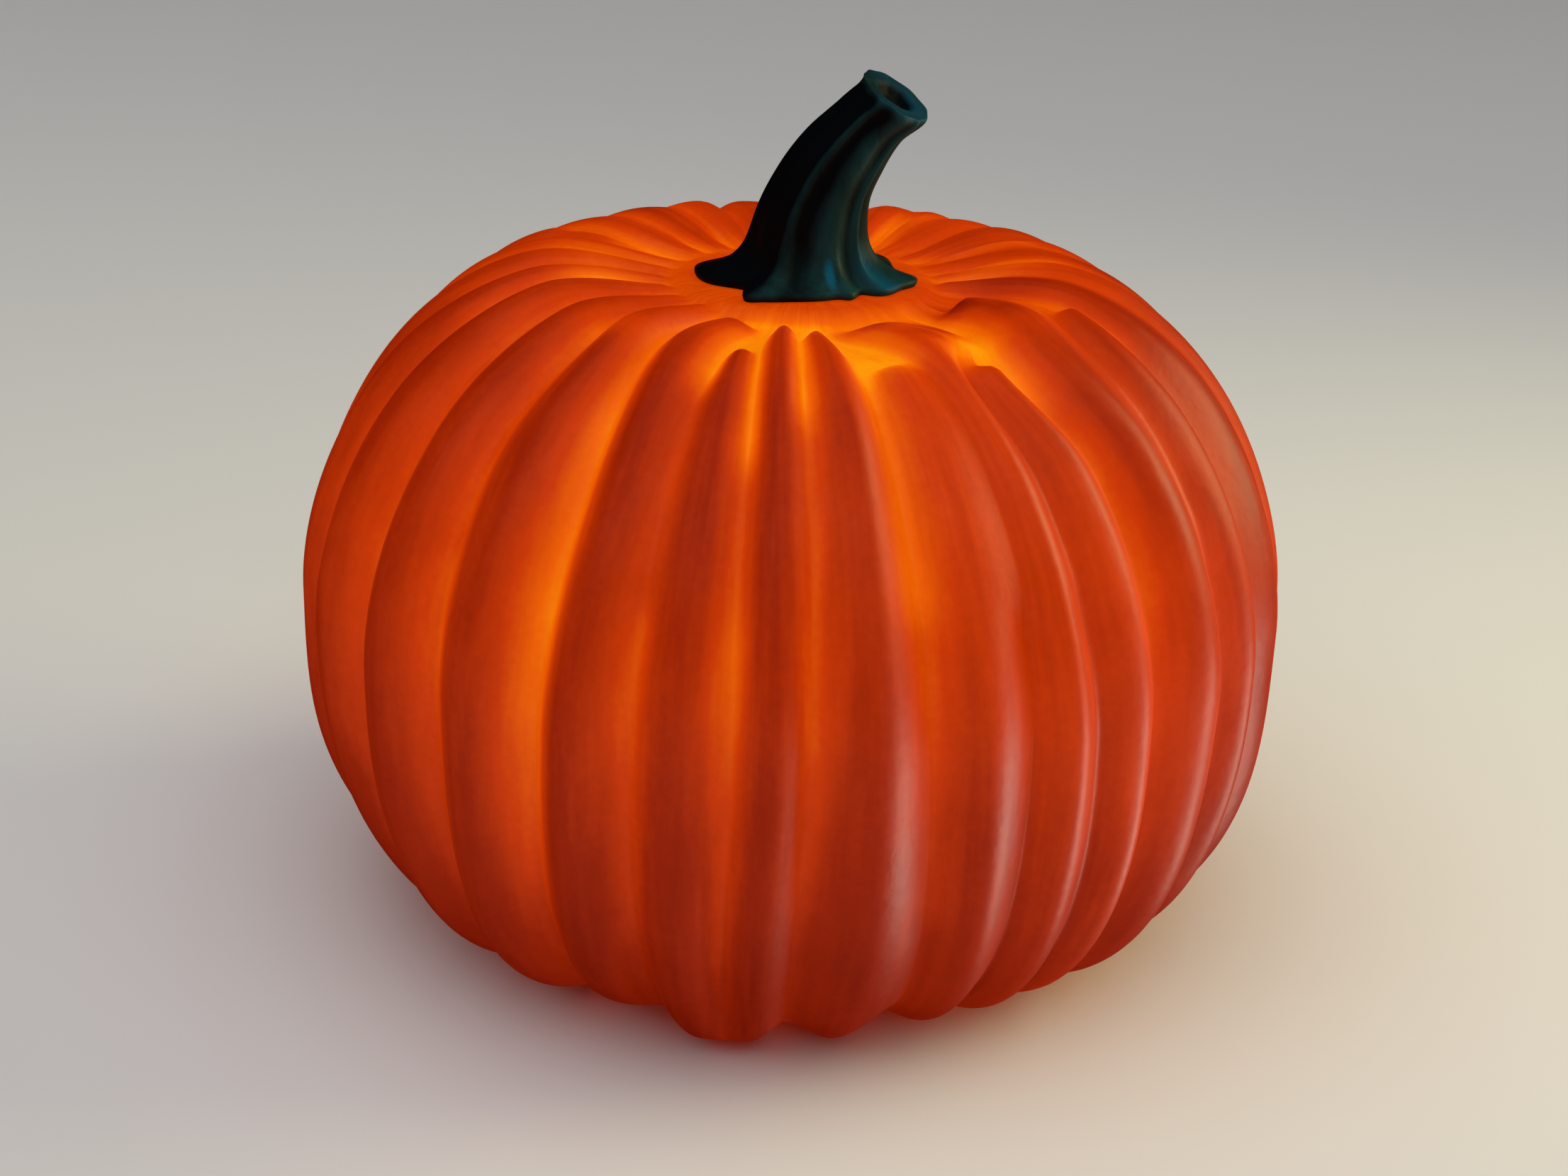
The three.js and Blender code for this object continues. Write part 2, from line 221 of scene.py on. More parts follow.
# valley: azimuths of the valley on the rib's left; groove: its depth at the belly, in mm; bridge: the
# share of that depth that it keeps on the shoulder; pocket: latitude where it gets deep again; glow:
# its brightness on the belly, on the shoulder and in that pocket; tip: radius where the rib's inner end
# starts; low: how far its crest stays under the envelope; and last, what is added to the glow of its
# crest on the belly and on the shoulder. On these ribs, all on the right, that addition is painted
# light, standing in for room light that falls from the right.
FRONT_RIBS = [
    dict(
        valley=[-84, -87, -88, -86, -92], groove=6.2, tip=29, low=0,
        glow=[0.42, 0.42, 0.58],
    ),
    dict(
        valley=[-70, -73.5, -75.5, -74, -80], groove=6.8, tip=29, low=0,
        glow=[0.48, 0.48, 0.6],
    ),
    dict(
        valley=[-54, -58.5, -58.5, -59, -66], groove=7.2, tip=29, low=0.3,
        glow=[0.57, 0.52, 0.58],
    ),
    dict(
        valley=[-43, -43.9, -45, -43.2, -50], groove=7.8, tip=29, low=0,
        glow=[0.64, 0.52, 0.58],
    ),
    dict(
        valley=[-29, -29, -28.2, -29.5, -33], groove=8.6, tip=36, low=-0.4,
        glow=[0.85, 0.8, 0.72],
    ),
    dict(
        valley=[-16.5, -17, -16, -15, -12], groove=6, bridge=0.55, pocket=43, tip=61, low=0.9,
        glow=[0.6, 0.45, 0.86],
    ),
    dict(
        valley=[-6.8, -5.9, -6.4, -7.5, -9.5], groove=5.6, bridge=0.7, pocket=33, tip=38, low=0.6,
        glow=[0.68, 0.56, 0.84],
    ),
    dict(
        valley=[1, 2.8, 2, 0.5, -0.5], groove=5.6, bridge=0.7, pocket=39, tip=44, low=0,
        glow=[0.6, 0.56, 0.86], wall_glow_and_side_light=[0, 0.06],
    ),
    dict(
        valley=[17.3, 16.2, 13.8, 11.5, 7.5], groove=7.4, pocket=44, tip=67, low=0.8,
        glow=[0.58, 0.75, 0.9], wall_glow_and_side_light=[0.06, 0.2],
    ),
    dict(
        valley=[27, 28, 26, 22, 9], groove=6.2, bridge=0.5, pocket=49, tip=36, low=0.2,
        glow=[0.44, 0.42, 0.88], wall_glow_and_side_light=[0.12, 0.19],
    ),
    dict(
        valley=[36, 36.3, 33, 30, 44], groove=5.4, bridge=0.8, pocket=47, tip=70, low=0.8,
        glow=[0.4, 0.38, 0.84], wall_glow_and_side_light=[0.15, 0.14],
    ),
    dict(
        valley=[43.8, 46.2, 44.8, 38.7, 50], groove=8.6, tip=36, low=-0.2,
        glow=[0.6, 0.6, 0.9], wall_glow_and_side_light=[0.09, 0.06],
    ),
    dict(
        valley=[57, 59.5, 58.5, 61, 81], groove=6.2, bridge=0.8, pocket=50, tip=62, low=0.6,
        glow=[0.46, 0.42, 0.6], wall_glow_and_side_light=[0.07, 0.06],
    ),
    dict(
        valley=[66, 67.5, 70.5, 72, 84], groove=6.2, tip=29, low=0.2,
        glow=[0.42, 0.42, 0.65],
    ),
]
BACK_START = [80, 83, 87, 88, 97]
BACK_COUNT = 16
BACK_WIDTH_SPREAD, BACK_WANDER = 0.22, 0.09
BACK_GROOVES, BACK_BRIDGES, BACK_POCKETS = (3.6, 6.6), (0.3, 0.55), (52, 66)
BACK_GLOWS, BACK_POCKET_GLOWS = (0.38, 0.56), (0.5, 0.8)
BACK_LOW, BACK_THIN = 0.8, 0.08  # the most that a crest is low or its wall thin
BACK_SHORT_EVERY = 0.4
BACK_CLEFT = 10  # the one valley of the back that stays deep over the crown
BACK_TIPS = dict(long=29, short=64)
SHORT_RIB_SHARES = np.array([1, 1, 0.92, 0.62, 0.3])  # of its width that a short rib keeps
# where each property's draws start; the glow follows the width
SEEDS = dict(short=131, width=130, groove=70, low=100, bridge=190, pocket=220, bright=160, wall_glow_and_side_light=250)


def back_ribs():
    """Ribs from the last front valley round to the first: drawn widths, scaled at each station to
    the room there, so valley = start + room * (sum of the widths before it) / (sum of all)."""
    k = np.arange(BACK_COUNT)
    drawn = {key: draw(k + seed) for key, seed in SEEDS.items()}
    short = drawn["short"] < BACK_SHORT_EVERY
    base = 1 + BACK_WIDTH_SPREAD * (2 * drawn["width"] - 1)
    station = np.arange(len(STATIONS))[:, None]
    wander = 1 + BACK_WANDER * (2 * draw(31 * station + k) - 1)
    widths = base * wander * np.where(short, SHORT_RIB_SHARES[:, None], 1)
    before = (np.cumsum(widths, axis=1) - widths) / widths.sum(axis=1, keepdims=True)
    start = np.array(BACK_START)[:, None]
    room = 360 + np.array(FRONT_RIBS[0]["valley"])[:, None] - start
    glow = mix(*BACK_GLOWS, drawn["width"])
    return dict(
        valley=(start + room * before).T,
        groove=mix(*BACK_GROOVES, drawn["groove"]),
        tip=np.where(short, BACK_TIPS["short"], BACK_TIPS["long"]),
        low=BACK_LOW * drawn["low"],
        bridge=np.where(k == BACK_CLEFT, 1, mix(*BACK_BRIDGES, drawn["bridge"])),
        pocket=mix(*BACK_POCKETS, drawn["pocket"]),
        glow=np.stack([glow, glow, mix(*BACK_POCKET_GLOWS, drawn["bright"])], axis=1),
        wall_glow_and_side_light=np.stack([BACK_THIN * drawn["wall_glow_and_side_light"]] * 2, axis=1),
    )


back_half = back_ribs()
plain = dict(bridge=1, pocket=40, wall_glow_and_side_light=[0, 0])
ribs = {
    key: np.concatenate([np.array([{**plain, **rib}[key] for rib in FRONT_RIBS], float), half])
    for key, half in back_half.items()
}
print("ribs:", len(ribs["tip"]), "back valleys at the belly:", back_half["valley"][:, 1].round())

# %% [markdown]
# ## The ribbed surface
#
# The surface is a grid with one column for each place across each rib, so that a valley is always
# a line of the grid and stays crisp. A point starts on the envelope and is pushed inwards by its
# depth. Across a rib the depth goes from the crest to the valley by a power of a cosine: round on
# the crest, tighter in the valley. Along a rib it fades out at the seat and at the base, and at
# a rib's tip the crest rises out of the valley floor over a short toe. One sum of slow sines makes
# the crests a little uneven, as on a shape that was sculpted by hand before it was moulded, and a
# few soft swellings push the foot out or draw it in.
#
# Two more things are worked out on the same grid. The glow is the light of the lamp behind each point:
# high in the valleys, low on the crests, with soft patches where the wall is thinner or thicker. The
# crests on the right also get extra glow, which is painted light standing in for room light from that
# side. The fibre place is a direction that turns once round while the columns are counted, with the
# latitude as its third number: streaks that are drawn on it follow the ribs.

# %% Body surface
RIB_STEPS = 22
GROOVE_SHARPNESS = 1.3
GROOVE_LATITUDES = [-57, -48, -40, -20, 0, 20, 31, 40, 48, 56, 60, 64, 67, 68.5]
GROOVE_SHARES = [0, 0.32, 0.66, 0.95, 1, 0.97, 0.84, 0.7, 0.62, 0.6, 0.56, 0.42, 0.22, 0]
BRIDGE = (13, 20)  # latitudes between which a bridged valley gets shallow
POCKET_EDGE = 4  # degrees over which it gets deep again
SWELLINGS = [  # azimuth and spread, latitude and rise, reach in mm
    (-8, 8, -46, 9, 10),
    (8, 4, -46, 8, 5),
    (-6.8, 2.5, -47, 8, 3),
    (-24, 6, -44, 9, -5),
    (-68, 16, -33, 14, -4),
]
WAVES = [(0.55, 3.1, 0.4), (0.35, 7.3, 1.7), (0.2, 13.7, 2.9)]  # mm, turns a radian, start
WAVE_SHARE = 0.5
WAVE_SHIFT = 2.4  # how far the waves move on from one rib to the next
VALLEY_GLOW = ([-45, -30, -17, 0, 17, 30, 60], [0.2, 0.34, 0.58, 0.86, 1, 1, 1.05])
CREST_GLOW = (
    [-45, -33, -17, 0, 17, 40, 52, 60, 66],
    [0.02, 0.07, 0.18, 0.27, 0.28, 0.26, 0.32, 0.36, 0.43],
)
# The extra crest glow that this band blends is painted light on the right-hand front ribs, standing in
# for room light from the right; on the back it is drawn at random.
EXTRA_CREST_GLOW_BAND = (-5, 32)  # latitudes between which a crest goes from its belly glow to the shoulder's
SEAT_GLOW = 0.53
SEAT_EDGE = (64, 70)  # latitudes between which the ribs' glow gives way to the seat's
GLOW_PATCHES = [  # azimuth and spread, latitude and rise, what a thicker or thinner wall adds there
    (20, 11, 62, 3.5, -0.25),
    (40, 7, 59.5, 4.5, -0.5),
    (60, 9, 64, 4, -0.36),
    (60, 8, 55, 4, -0.12),
    (82, 9, 60, 6, -0.22),
    (102, 9, 57, 6, 0.2),
    (260, 9, 57, 6, 0.17),
    (-80, 5, 58.5, 5, 0.42),
    (5, 3, 60, 5, 0.24),
    (-40, 5, 50, 3, 0.2),
    (16.5, 4.5, 48.3, 2, 0.36),
    (38, 3, 52, 2, 0.15),
    (31, 5, 54, 2.5, -0.22),
    (61, 6, 62.5, 2.5, -0.2),
    (-15.6, 4, 60.8, 2.5, -0.13),
]
GLOW_POWERS = (1.35, 0.9)  # on the left flank of a rib and on its right one


def ribbed_surface():
    """Points, glow and fibre places of the body, as arrays of rows by columns.
    bow = 1 - cos(pi/2 * across)^sharpness is 0 on the crest and 1 in the valley;
    rounded = crest + (groove - crest) * bow, which gives way to a level floor inside a rib's tip;
    radius = the envelope's - the depth outwards + the swellings, which are soft spots;
    glow = crest glow + (valley glow - crest glow) * bow^power, with a power for each flank, + the
    glow patches, which are soft spots too;
    fibre place = (sin turn, cos turn, latitude), with turn = 2 pi * column / columns."""
    count = len(ribs["tip"])
    rib = np.repeat(np.arange(count), RIB_STEPS)
    across = np.tile(np.linspace(-1, 1, RIB_STEPS, endpoint=False), count)
    beside = np.where(across < 0, rib, (rib + 1) % count)
    valleys = curve_through(STATIONS, ribs["valley"].T, row_latitude)
    valleys = np.concatenate([valleys, valleys[:, :1] + 360], axis=1)
    azimuth = mix(valleys[:, rib], valleys[:, rib + 1], (across + 1) / 2)
    tip = ribs["tip"][rib] * MM
    raised = soft_step(row_radius[:, None], tip, tip + TOE_LENGTH)
    share = curve_through(GROOVE_LATITUDES, GROOVE_SHARES, row_latitude)[:, None]
    latitude = row_latitude[:, None]
    on_shoulder = soft_step(latitude, *BRIDGE)
    in_pocket = soft_step(latitude, ribs["pocket"] - POCKET_EDGE, ribs["pocket"] + POCKET_EDGE)
    deep = share * MM * ribs["groove"] * mix(1, ribs["bridge"], on_shoulder - in_pocket)
    left, right = deep[:, rib], deep[:, (rib + 1) % count]
    groove = np.where(across < 0, left, right)
    crest = share * ribs["low"][rib] * MM
    level = mix(left, right, soft_step(across, -1, 1))
    bow = 1 - np.cos(across * np.pi / 2).clip(0) ** GROOVE_SHARPNESS
    wave = sum(
        size * np.sin(turns * np.radians(latitude) + start + WAVE_SHIFT * rib)
        for size, turns, start in WAVES
    )
    rounded = mix(crest + share * WAVE_SHARE * wave * MM, groove, bow)
    depth = mix(level, rounded, raised)
    swelling = spots(azimuth, latitude, SWELLINGS) * MM
    radius = row_radius[:, None] - depth * row_out[:, None] + swelling
    height = row_height[:, None] - depth * row_up[:, None]
    angle = np.radians(azimuth)
    points = np.stack([radius * np.sin(angle), -radius * np.cos(angle), height], axis=-1)

    belly, shoulder, pocket = ribs["glow"].T
    lit = mix(mix(belly, shoulder, on_shoulder), pocket, in_pocket)
    valley = lit[:, beside] * curve_through(*VALLEY_GLOW, row_latitude)[:, None]
    # extra crest glow: painted light for room light from the right on the right-hand ribs, drawn at
    # random on the back
    wall_glow_and_side_light = mix(*ribs["wall_glow_and_side_light"].T, soft_step(latitude, *EXTRA_CREST_GLOW_BAND))
    ridge = curve_through(*CREST_GLOW, row_latitude)[:, None] + wall_glow_and_side_light[:, rib]
    sunk = mix(1, bow, raised) ** np.where(across < 0, *GLOW_POWERS)
    glow = mix(ridge, valley, sunk)
    glow = mix(glow, SEAT_GLOW, soft_step(latitude, *SEAT_EDGE))
    glow = glow + spots(azimuth, latitude, GLOW_PATCHES)
    turn = np.arange(len(rib)) * 2 * np.pi / len(rib)
    place = np.broadcast_arrays(np.sin(turn), np.cos(turn), np.radians(latitude))
    return points, glow, np.stack(place, axis=-1)


body_points, body_glow, body_fibres = ribbed_surface()
print("body grid:", body_points.shape[:2], "glow up to", round(float(body_glow.max()), 2))

# %% [markdown]
# ## From a grid to a mesh
#
# A closed surface round an axis is a grid whose last column meets its first, with a point at
# either end. The four corners of every face come from one array of row and column numbers, so the
# mesh is made in one step however fine it is. What changes over the surface and isn't shape, such
# as the glow, is stored as an attribute on the points, where a material can read it: a number, or
# three numbers where it is a place.

# %% Mesh maker


def closed_piece(name, points, top, bottom, **attributes):
    """Mesh object from rows of points, listed from the top down and anticlockwise seen from above,
    closed by the points top and bottom. A side joins two rows and two columns."""
    rows, columns = points.shape[:2]
    around = np.arange(columns)
    ahead = (around + 1) % columns
    row = np.arange(rows - 1)[:, None] * columns
    sides = np.stack([row + around, row + columns + around, row + columns + ahead, row + ahead], -1)
    first, last = rows * columns, rows * columns + 1
    lid = np.stack([np.full(columns, first), around, ahead], -1)
    low = (rows - 1) * columns
    floor_fan = np.stack([low + around, np.full(columns, last), low + ahead], -1)
    mesh = bpy.data.meshes.new(name)
    vertices = np.concatenate([points.reshape(-1, 3), [top, bottom]])
    faces = sides.reshape(-1, 4).tolist() + lid.tolist() + floor_fan.tolist()
    mesh.from_pydata(vertices.tolist(), [], faces)
    for key, values in attributes.items():
        width = values.shape[2:]
        kind, field = ("FLOAT_VECTOR", "vector") if width else ("FLOAT", "value")
        all_values = np.concatenate([values.reshape(-1, *width), values[[0, -1]].mean(axis=1)])
        layer = mesh.attributes.new(key, kind, "POINT")
        layer.data.foreach_set(field, all_values.ravel().astype(np.float32))
    mesh.shade_smooth()
    piece = bpy.data.objects.new(name, mesh)
    bpy.context.collection.objects.link(piece)
    print(name, "has", sum(len(face) - 2 for face in faces), "triangles")
    return piece


seat_middle, base_middle = (0, 0, SEAT_HEIGHT), (0, 0, 0)
shell = closed_piece(
    "pumpkin_shell", body_points, seat_middle, base_middle, glow=body_glow, fibres=body_fibres
)

# %% [markdown]
# ## The stem
#
# The stem is a profile carried along a path. The path is a few sections, each with its centre, its
# lean towards +X, its nod towards the front and its radius, and smooth curves lead through them.
# The profile is a ring with ridges of chosen width and height: a sculpted stem has broad and thin
# ones side by side, so a regular wave would look like a gear. Below, the ring flares out into the
# foot's own outline with an exponential, which is how a real stalk spreads on its fruit. The cut
# end is finished by shrinking the last section into a shallow hollow.

# %% Stem surface
STEM_GAP = 0.3 * MM
STEM_LIP = 1.5  # height of the foot's upright edge
STEM_FLARE = (2.3, 4.1)  # in a groove, on a ridge
STEM_SECTIONS = dict(  # in mm over the seat, lean and nod in degrees
    z=[0, 14.3, 23.6, 31.4, 38.8, 44.6],
    x=[0.6, 1.3, 4.2, 8.7, 14.6, 20.1],
    lean=[0, 2, 17, 28, 33, 32],
    nod=[0, 0, 0, 2, 6, 10],
    radius=[12.2, 12, 10.4, 9.1, 7.7, 8.6],
    relief=[1.2, 1.1, 1, 1, 0.9, 0.4],
)
STEM_RIDGES = [  # azimuth, spread in degrees, height in mm, share of brushed teal, which is painted highlight as well on the ridges that face right
    (-152, 15, 1.5, 0.3),
    (-118, 12, 1.3, 0.15),
    (-86, 14, 1.2, 0.1),
    (-54, 11, 0.7, 0.1),
    (-21, 8, 1.4, 0.5),
    (22, 19, 1.3, 0.75),
    (51, 6, 1.6, 1.3),
    (80, 18, 1.2, 0.75),
    (116, 14, 1.6, 0.5),
    (160, 16, 1.4, 0.4),
]
FOOT_PAINTED_HIGHLIGHT = (25, 50, 3, 12, 0.36)  # azimuth, spread, height and rise in mm, share of teal that paints the side light's highlight on the front of the foot
PAINTED_GLINT_SPOTS = [(20, 4.5, 5, 3, 1.3), (60, 13, 6, 7, 0.7)]  # two painted glints on the foot; the same five numbers each
FOOT_OUTLINE = [  # azimuth, radius in mm
    (-180, 23), (-146, 24), (-120, 22), (-95, 26.4), (-72, 25.4), (-46, 19.9), (-31, 27),
    (-22, 24.9), (-7, 22.2), (11, 20.8), (23, 20.2), (30, 21.7), (44, 19.3), (50, 22.6),
    (57, 24), (69, 24.5), (83, 26.8), (103, 22), (135, 25), (160, 22.6), (180, 23),
]
STEM_SIDES = 288
STEM_ROWS = 110
CUT_ROWS = 18
CUT_INNER = 0.08  # share of the radius where the rows of the cut start
SOLE_EDGE, SOLE_INNER = 0.985, 0.9  # shares of the radius under the foot
CUT_HOLLOW = 2.2
CUT_EDGE = (0.28, 0.66)  # shares of the radius between which the hollow rises to the rim
RIM_DOWN = 2.5  # how far the rim's paint runs down the side


def stem_surface():
    """Points of the stem in mm, from the middle of the cut down to the sole, and its paint marks.
    relief = sum of height * e^(-(angle to the ridge / spread)^2), flare = e^(-z / its height) and
    radius = shrink * (shaft + relief, blended into the foot's outline by the flare). The flare
    reaches higher on a ridge than beside it, so each ridge runs out into a root of the foot.
    The marks are shares of paint, some of it painted light: teal brushed along the ridges, laid on more
    thickly on the right-hand ridges and over the front of the foot as a painted highlight of the side
    light; rim round the cut; and two painted glints on the foot, which are soft spots with the height
    in place of the latitude."""
    shaft_z = np.linspace(STEM_SECTIONS["z"][-1], STEM_LIP, STEM_ROWS)
    inward = np.linspace(CUT_INNER, 1, CUT_ROWS, endpoint=False)
    z = np.concatenate([np.full(CUT_ROWS, shaft_z[0]), shaft_z, [STEM_LIP / 2, 0, 0]])
    shrink = np.concatenate([inward, np.ones(STEM_ROWS + 1), [SOLE_EDGE, SOLE_INNER]])
    at_rim = soft_step(inward, *CUT_EDGE)
    side = np.zeros(len(z) - CUT_ROWS)
    sunk = np.concatenate([CUT_HOLLOW * (1 - at_rim), side])
    at = {
        key: curve_through(STEM_SECTIONS["z"], values, z)[:, None]
        for key, values in STEM_SECTIONS.items()
    }
    azimuth = np.arange(STEM_SIDES) * 360 / STEM_SIDES - 180
    bumps = [
        np.exp(-((((azimuth - ridge + 180) % 360 - 180) / spread) ** 2))
        for ridge, spread, _, _ in STEM_RIDGES
    ]
    relief = sum(height * bump for (_, _, height, _), bump in zip(STEM_RIDGES, bumps))
    brushed = sum(share * bump for (_, _, _, share), bump in zip(STEM_RIDGES, bumps))
    ridge = relief / relief.max()
    flare = np.exp(-(z - STEM_LIP).clip(0)[:, None] / mix(*STEM_FLARE, ridge))
    outline = curve_through(*zip(*FOOT_OUTLINE), azimuth)
    radius = shrink[:, None] * mix(at["radius"] + at["relief"] * relief, outline, flare)
    lean, nod = np.radians(at["lean"]), np.radians(at["nod"])
    right = radius * np.sin(np.radians(azimuth))
    front = radius * np.cos(np.radians(azimuth))
    out, up = front * np.cos(nod), -front * np.sin(nod) - sunk[:, None]
    points = np.stack([
        at["x"] + right * np.cos(lean) + up * np.sin(lean),
        -out,
        z[:, None] - right * np.sin(lean) + up * np.cos(lean),
    ], axis=-1)
    outside = np.concatenate([np.zeros(CUT_ROWS), side + 1])[:, None]
    rim = np.concatenate([at_rim, soft_step(z[0] - z[CUT_ROWS:], RIM_DOWN, 0)])
    marks = dict(
        brushed=outside * (brushed + spots(azimuth, z[:, None], [FOOT_PAINTED_HIGHLIGHT])),
        rim=np.repeat(rim[:, None], STEM_SIDES, axis=1),
        dabs=outside * spots(azimuth, z[:, None], PAINTED_GLINT_SPOTS),
    )
    return points, marks


stem_points, stem_marks = stem_surface()
stem_points = stem_points * MM + [0, 0, SEAT_HEIGHT + STEM_GAP]
cut_middle, sole_middle = stem_points[[0, -1]].mean(axis=1)
stem = closed_piece("stem_moulding", stem_points, cut_middle, sole_middle, **stem_marks)

# %% [markdown]
# ## Shader maths that reads like maths
#
# Blender builds a material from nodes. Typed out one by one they hide what is being worked out, so
# a small class wraps a node's output and lets Python's own operators add the Math nodes. Any other
# node comes from one method, which sets the node's own settings first and its inputs second.

# %% Node tools


class Signal:
    """The output of a node. Arithmetic with numbers or other signals adds Math nodes."""

    def __init__(self, tree, socket):
        self.tree, self.socket = tree, socket

    def math(self, operation, *values):
        return self.tree.node("Math", dict(operation=operation), dict(enumerate(values)))

    def __add__(self, other):
        return self.math("ADD", self, other)

    def __sub__(self, other):
        return self.math("SUBTRACT", self, other)

    def __rsub__(self, other):
        return self.math("SUBTRACT", other, self)

    def __mul__(self, other):
        return self.math("MULTIPLY", self, other)

    def clamped(self):
        return self.math("MINIMUM", self.math("MAXIMUM", self, 0), 1)

    __radd__ = __add__
    __rmul__ = __mul__


class Finish:
    """A material whose nodes are added one call at a time and end in a Principled shader."""

    def __init__(self, name, **constants):
        self.material = bpy.data.materials.new(name)
        self.material.use_nodes = True
        self.shader = self.material.node_tree.nodes["Principled BSDF"]
        for key, value in constants.items():
            self.shader.inputs[key.replace("_", " ")].default_value = value

    def node(self, kind, settings=(), inputs=(), output=0):
        """Adds a node of this kind and returns its output as a Signal."""
        node = self.material.node_tree.nodes.new("ShaderNode" + kind)
        for key, value in dict(settings).items():
            if key == "stops":
                self.set_stops(node.color_ramp, value)
            else:
                setattr(node, key, value)
        for key, value in dict(inputs).items():
            self.feed(node.inputs[key], value)
        return Signal(self, node.outputs[output])

    def set_stops(self, ramp, stops):
        while len(ramp.elements) < len(stops):
            ramp.elements.new(1)
        for element, (place, colour) in zip(ramp.elements, stops):
            element.position = place
            element.color = (*colour, 1)

    def feed(self, socket, value):
        if isinstance(value, Signal):
            self.material.node_tree.links.new(value.socket, socket)
        elif socket.type == "RGBA":
            socket.default_value = (*value[:3], 1)
        else:
            socket.default_value = value

    def blend(self, share, low, high):
        """The colour low where share is 0 and high where it is 1."""
        return self.node("Mix", dict(data_type="RGBA"), {0: share, 6: low, 7: high}, output=2)

    def tint(self, colour, gain):
        """The colour times a number that may change over the surface."""
        return self.node("VectorMath", dict(operation="SCALE"), {0: colour, 3: gain})

    def noise(self, scale, detail=2, roughness=0.5, stretch=(1, 1, 1), place=None):
        """Noise from 0 to 1, on Object coordinates unless a place is given; scale is the number of
        features in one unit of the place."""
        place = place or self.node("TexCoord", output="Object")
        placed = self.node("Mapping", inputs={"Vector": place, "Scale": stretch})
        settings = {"Vector": placed, "Scale": scale, "Detail": detail, "Roughness": roughness}
        return self.node("TexNoise", inputs=settings, output="Fac")

    def attribute(self, name, output="Fac"):
        return self.node("Attribute", dict(attribute_name=name), output=output)

    def drive(self, **inputs):
        for key, value in inputs.items():
            self.feed(self.shader.inputs[key.replace("_", " ")], value)


def linear(red, green, blue):
    """Linear colour from the 0 to 255 values that a screen shows."""
    c = np.array([red, green, blue]) / 255
    return tuple(float(v) for v in np.where(c > 0.04045, ((c + 0.055) / 1.055) ** 2.4, c / 12.92))


print("mid grey is", round(linear(128, 128, 128)[0], 3), "in linear light")

# %% [markdown]
# ## Plastic with a lamp behind it
#
# A lit shell shows two things at once: the light of the lamp, which comes through the wall and is
# strongest where the wall is thinner and where two flanks light each other, and the light of the room
# on its satin skin. Simulating the lamp would need a hollow body and minutes of rendering. The glow
# attribute already says how bright each place is, so one ramp turns it into the colour of hot orange
# plastic, from dull red-orange to yellow, and that colour feeds both the skin and the emission. So the
# lamp's light is also painted into the skin's base colour: lighter and yellower in the valleys, darker
# and redder on the crests. Noise at two scales breaks it up as the uneven thickness of a moulding does,
# and a third noise reads the fibre place: it changes ten times more slowly along a rib than across it,
# so it draws fine streaks that run with the ribs and close up towards the stem.

# %% Body material
GLOW_COLOURS = [
    (0.0, linear(112, 14, 0)),
    (0.25, linear(152, 32, 0)),
    (0.5, linear(204, 57, 0)),
    (0.75, linear(238, 99, 0)),
    (1.0, linear(255, 150, 4)),
]
SKIN_SHARE = 0.45  # part of the shown colour that room light brings out
LAMP_SHARE = 0.7  # part that shines by itself
CLOUDY, SPECKLED, FIBROUS = 0.16, 0.07, 0.2  # how much each noise changes the glow
SATIN = 0.45  # mean roughness of the skin

plastic = Finish("lit_plastic", Specular_IOR_Level=0.22)
glow = plastic.attribute("glow")
cloud = plastic.noise(38, detail=3)
speckle = plastic.noise(520, detail=2)
fibres = plastic.noise(
    34, detail=3, stretch=(1, 1, 0.1), place=plastic.attribute("fibres", output="Vector")
)
uneven = (cloud - 0.5) * CLOUDY + (speckle - 0.5) * SPECKLED + (fibres - 0.5) * FIBROUS
colour = plastic.node("ValToRGB", dict(stops=GLOW_COLOURS), {"Fac": glow + uneven})
# The skin's base colour is the glow colour, so it carries the lamp's light as painted light.
skin = plastic.tint(colour, SKIN_SHARE)
light = plastic.tint(colour, LAMP_SHARE)
orange_peel = plastic.noise(330, detail=2)
dents = plastic.noise(75, detail=1)
bump = plastic.node(
    "Bump", inputs={"Strength": 0.35, "Distance": 0.0012, "Height": dents * 0.7 + orange_peel * 0.3}
)
plastic.drive(
    Base_Color=skin, Emission_Color=light, Roughness=(cloud - 0.5) * 0.16 + SATIN, Normal=bump
)
plastic.shader.inputs["Emission Strength"].default_value = 1
shell.data.materials.append(plastic.material)
print("body material:", len(plastic.material.node_tree.nodes), "nodes")

# %% [markdown]
# ## Painted stem
#
# The stem is moulded plastic under dark paint: near-black green in the grooves and a greyer teal
# brushed over the ridges. The teal is laid on more thickly on the ridges that face right and on the
# front of the foot, as a painted highlight of the side light, and two bright teal spots on the foot are
# painted glints; the bright teal also rings the cut. Three attributes say how much a place could have:
# one is high on the ridges, one round the cut and one at the two glints. Noise drawn out along the stem
# makes the brush marks, so an attribute times noise is where the brush has left paint.

# %% Stem material
DARK_PAINT = linear(6, 8, 11)
# teal of the brushed ridges; on the right-hand ridges it is a painted highlight as well
BRUSHED_AND_HIGHLIGHT_TEAL = linear(24, 58, 58)
# bright teal of the painted glints, also laid round the cut
GLINT_TEAL = linear(8, 88, 116)
COVER, BARE = 2.6, 0.3  # how fast paint covers the ground, and how much of a mark stays bare
MATT = 0.62  # roughness of the dark paint

paint = Finish("paint_and_painted_highlights", Specular_IOR_Level=0.08)
brush_and_highlight_share = paint.attribute("brushed")
rim = paint.attribute("rim")
dabs = paint.attribute("dabs")
strokes = paint.noise(160, detail=4, roughness=0.6, stretch=(1, 1, 0.3))
patches = paint.noise(70, detail=1)
grain = paint.noise(900, detail=2)
